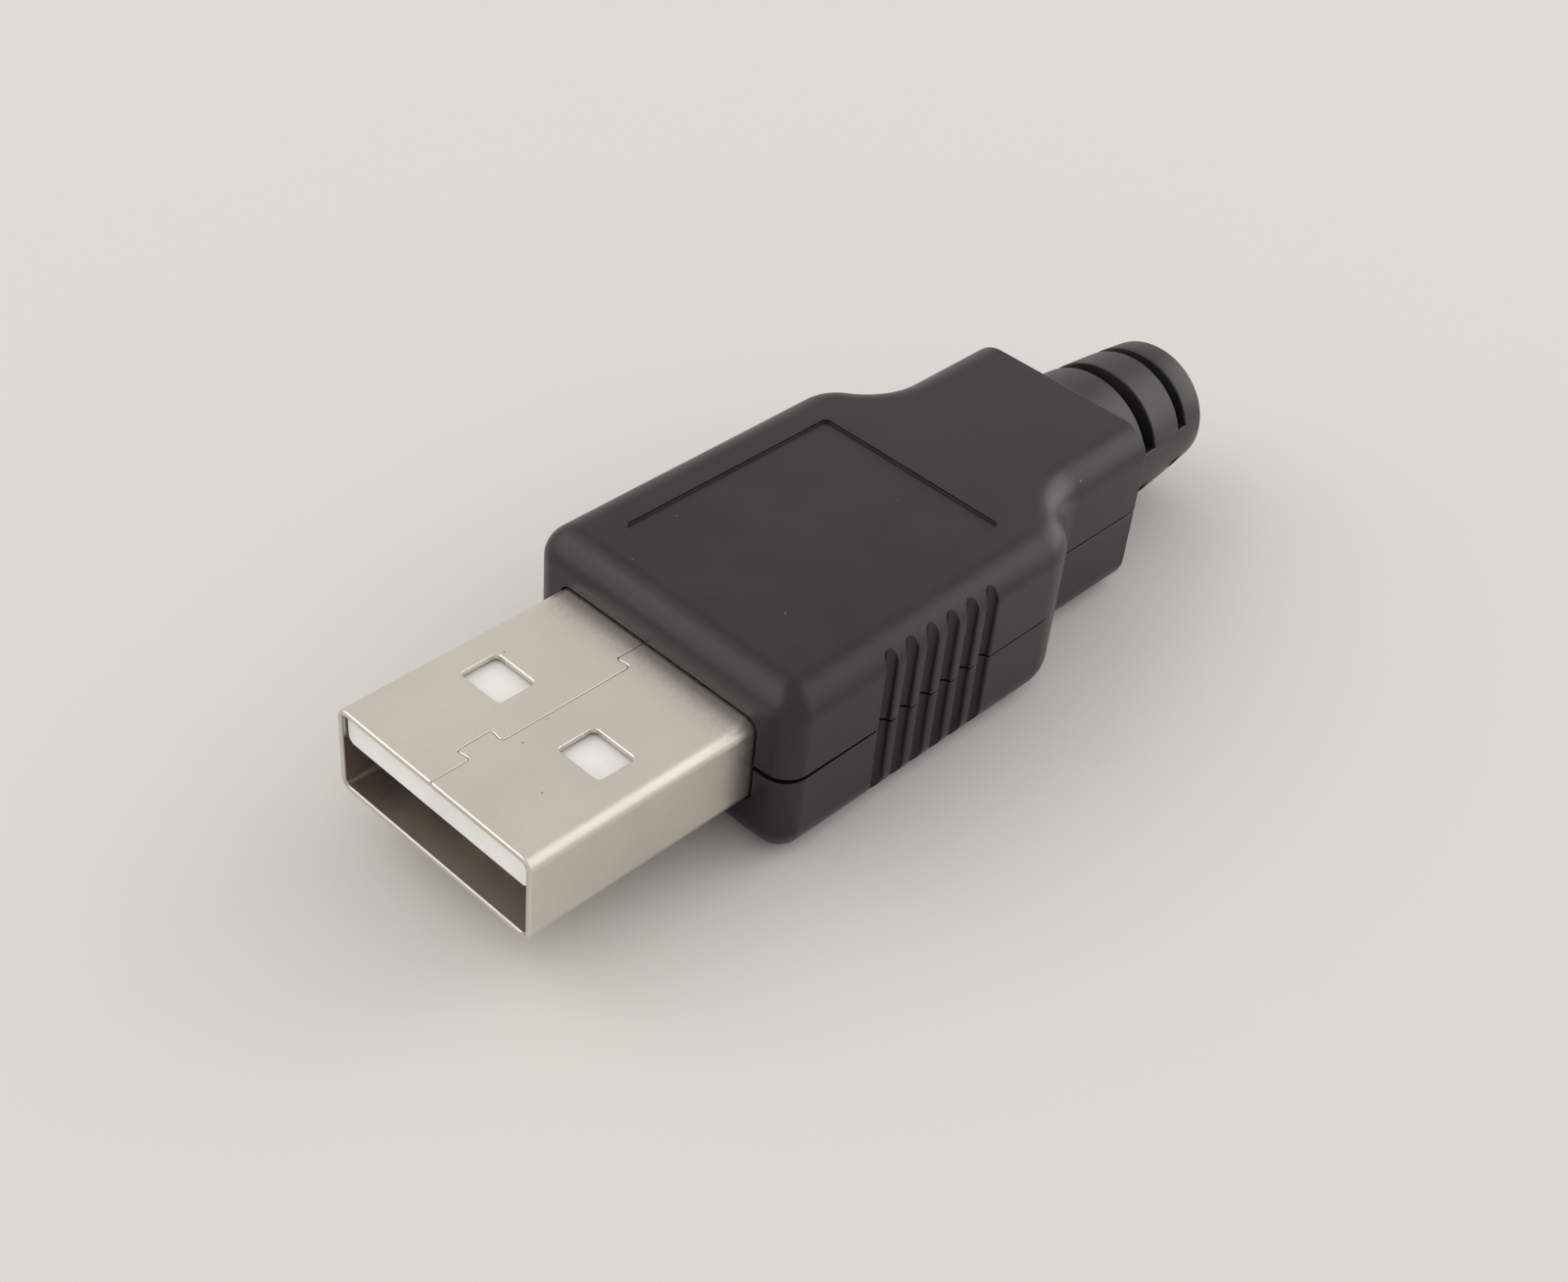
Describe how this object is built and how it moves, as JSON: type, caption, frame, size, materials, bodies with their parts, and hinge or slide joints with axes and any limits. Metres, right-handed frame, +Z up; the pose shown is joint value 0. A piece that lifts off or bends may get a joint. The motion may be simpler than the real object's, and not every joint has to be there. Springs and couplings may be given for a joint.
{
  "type": "usb-a plug",
  "caption": "Solder-type USB-A plug: folded metal shell round a white core with its contacts, held in a snap-together black cover with grip grooves and a slotted cable tail.",
  "frame": {"origin": "on the underside, under the middle of the whole plug's length and width", "axes": "+X runs along the plug to its mating end, +Y across its width, +Z up through the face with the shell's seam and the label field"},
  "size_m": [0.048, 0.016, 0.0092],
  "materials": {
    "nickel": "nickel-plated sheet, softly bright, with fine handling marks",
    "white_core": "white moulded plastic",
    "contact_metal": "gold-flashed copper alloy, satin",
    "cover_black": "black moulded plastic, fine matt texture",
    "tail_black": "black moulded soft plastic, slightly smoother than the cover"
  },
  "bodies": {
    "root": {"plug_shell": "nickel", "insulator": "white_core", "contact_vbus": "contact_metal", "contact_data_minus": "contact_metal", "contact_data_plus": "contact_metal", "contact_ground": "contact_metal", "cover_upper": "cover_black", "cover_lower": "cover_black", "cable_tail": "tail_black"}
  },
  "joints": []
}
